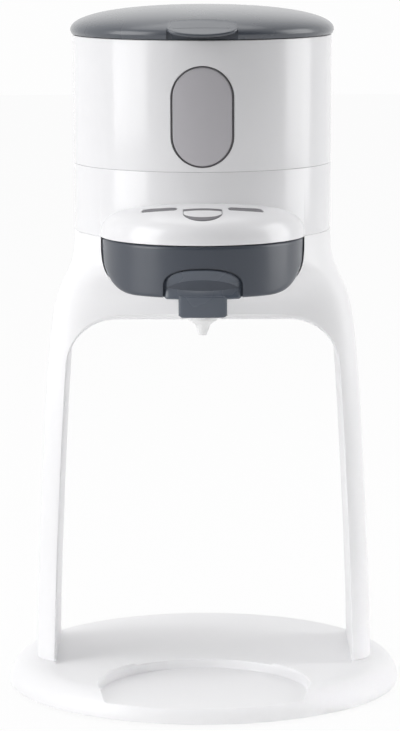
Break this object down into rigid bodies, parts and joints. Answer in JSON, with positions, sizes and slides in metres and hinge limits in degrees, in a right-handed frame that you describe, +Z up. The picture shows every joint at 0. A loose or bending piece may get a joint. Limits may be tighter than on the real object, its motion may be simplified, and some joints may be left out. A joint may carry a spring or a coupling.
{
  "type": "bottle warmer",
  "caption": "Round base carries an arch over a bottle space; a round head holds a lidded water tank, soft keys and a pull-out drawer with a nozzle that fills the bottle below.",
  "frame": {"origin": "on the ground under the centre of the round base", "axes": "+Z up, -Y towards the front with the keys, drawer and window, +X to the viewer's right"},
  "size_m": [0.18, 0.18, 0.3118],
  "materials": {
    "white": "glossy white moulded plastic",
    "inner_white": "plain white moulded plastic",
    "slate": "satin dark blue-grey plastic",
    "window_grey": "smoky translucent grey plastic",
    "dark_seal": "matt dark rubber",
    "pale_silicone": "pale translucent silicone",
    "steel": "plain steel",
    "aluminium": "cast aluminium",
    "board": "green circuit board",
    "black": "black plastic",
    "key_grey": "satin mid grey plastic"
  },
  "bodies": {
    "stand": {"base_disc": "white", "base_cover": "inner_white", "foot_front_left": "dark_seal", "foot_front_right": "dark_seal", "foot_rear_left": "dark_seal", "foot_rear_right": "dark_seal", "base_screw_1": "steel", "base_screw_2": "steel", "base_screw_3": "steel", "base_screw_4": "steel", "cord_gland": "dark_seal", "arch": "white", "leg_cover_left": "white", "leg_cover_right": "white", "head_floor": "inner_white", "head_screw_1": "steel", "head_screw_2": "steel", "head_screw_3": "steel", "head_screw_4": "steel", "head_shell": "white", "control_board": "board", "switch_left": "black", "switch_centre": "black", "switch_right": "black", "power_board": "board", "inlet_cup": "inner_white", "dock_seal": "pale_silicone", "pump": "black", "heater_block": "aluminium", "thermostat": "black", "hose_inlet": "pale_silicone", "hose_pressure": "pale_silicone", "hose_outlet": "pale_silicone", "outlet_spout": "inner_white"},
    "tank": {"tank": "white", "window_lens": "window_grey", "window_gasket": "dark_seal", "valve_cage": "inner_white", "valve_spring": "steel", "hinge_pin": "steel"},
    "valve": {"valve_poppet": "inner_white"},
    "lid": {"lid": "slate"},
    "drawer": {"drawer_tray": "slate", "drawer_front": "slate", "drawer_grip": "slate", "nozzle": "pale_silicone"},
    "left_key": {"key_left": "key_grey"},
    "centre_key": {"key_centre": "white"},
    "right_key": {"key_right": "key_grey"}
  },
  "joints": [
    {"name": "tank_lift", "type": "slide", "parent": "stand", "child": "tank", "axis": [0, 0, 1], "range_m": [0, 0.06]},
    {"name": "lid_hinge", "type": "hinge", "parent": "tank", "child": "lid", "pos_m": [0, 0.06, 0.3056], "axis": [-1, 0, 0], "range_deg": [0, 95]},
    {"name": "valve_close", "type": "slide", "parent": "tank", "child": "valve", "axis": [0, 0, -1], "range_m": [0, 0.0017], "stiffness_N_per_m": 300, "deforming": ["valve_spring"]},
    {"name": "drawer_slide", "type": "slide", "parent": "stand", "child": "drawer", "axis": [0, -1, 0], "range_m": [0, 0.08]},
    {"name": "left_key_press", "type": "slide", "parent": "stand", "child": "left_key", "axis": [0, 0, -1], "range_m": [0, 0.0008], "stiffness_N_per_m": 800},
    {"name": "centre_key_press", "type": "slide", "parent": "stand", "child": "centre_key", "axis": [0, 0, -1], "range_m": [0, 0.0008], "stiffness_N_per_m": 800},
    {"name": "right_key_press", "type": "slide", "parent": "stand", "child": "right_key", "axis": [0, 0, -1], "range_m": [0, 0.0008], "stiffness_N_per_m": 800}
  ],
  "couplings": [
    {"joint": "valve_close", "follows": "tank_lift", "ratio": 0.028333}
  ]
}
